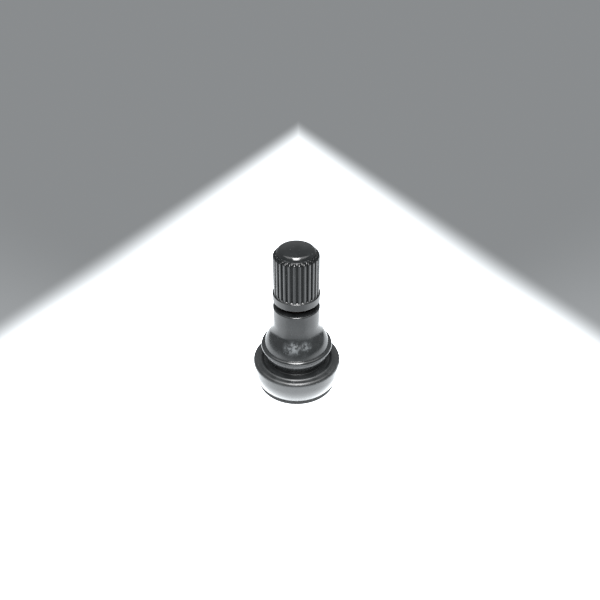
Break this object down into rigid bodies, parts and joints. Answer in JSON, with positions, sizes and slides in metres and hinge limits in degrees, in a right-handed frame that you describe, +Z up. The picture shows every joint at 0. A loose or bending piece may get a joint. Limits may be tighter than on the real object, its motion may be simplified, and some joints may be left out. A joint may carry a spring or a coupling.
{
  "type": "tyre valve",
  "caption": "Short snap-in tyre valve: black rubber body with a rim groove, moulded round a brass stem that holds a sprung valve core under a ribbed screw cap.",
  "frame": {"origin": "middle of the flat underside of the rubber base", "axes": "+Z up along the stem towards the cap; -Y faces the picture's camera; +X to its right"},
  "size_m": [0.0194, 0.0194, 0.0348],
  "materials": {
    "body_rubber": "semi-gloss moulded black rubber, a little dusty",
    "stem_brass": "turned brass, slightly dulled",
    "core_brass": "turned brass, bright",
    "barrel_seal_plastic": "off-white fluoroplastic",
    "core_steel": "drawn steel wire",
    "seal_rubber": "matt moulded rubber",
    "cap_plastic": "moulded black plastic, semi-gloss"
  },
  "bodies": {
    "valve_body": {"rubber_body": "body_rubber", "brass_stem": "stem_brass"},
    "cap_washer": {"cap_seal": "seal_rubber"},
    "screw_cap": {"cap": "cap_plastic"},
    "core_body": {"core_barrel": "core_brass", "barrel_seal": "barrel_seal_plastic", "core_spring": "core_steel"},
    "core_head": {"core_plug": "core_brass"},
    "valve_pin": {"core_pin": "core_steel", "seal_cup": "core_brass", "cup_seal": "seal_rubber"}
  },
  "joints": [
    {"name": "cap_lift", "type": "slide", "parent": "valve_body", "child": "cap_washer", "axis": [0, 0, 1], "range_m": [0, 0.01032]},
    {"name": "cap_turn", "type": "hinge", "parent": "cap_washer", "child": "screw_cap", "pos_m": [0, 0, 0.03246], "axis": [0, 0, 1], "range_deg": [0, 4680]},
    {"name": "core_lift", "type": "slide", "parent": "valve_body", "child": "core_body", "axis": [0, 0, 1], "range_m": [0, 0.0007055]},
    {"name": "core_turn", "type": "hinge", "parent": "core_body", "child": "core_head", "pos_m": [0, 0, 0.02506], "axis": [0, 0, 1], "range_deg": [0, 360]},
    {"name": "pin_press", "type": "slide", "parent": "core_body", "child": "valve_pin", "axis": [0, 0, -1], "range_m": [0, 0.0015], "stiffness_N_per_m": 400, "springref_m": -0.004, "deforming": ["core_spring"]}
  ],
  "couplings": [
    {"joint": "cap_turn", "follows": "cap_lift", "rad_per_m": 7915.8},
    {"joint": "core_turn", "follows": "core_lift", "rad_per_m": 8905.3}
  ]
}
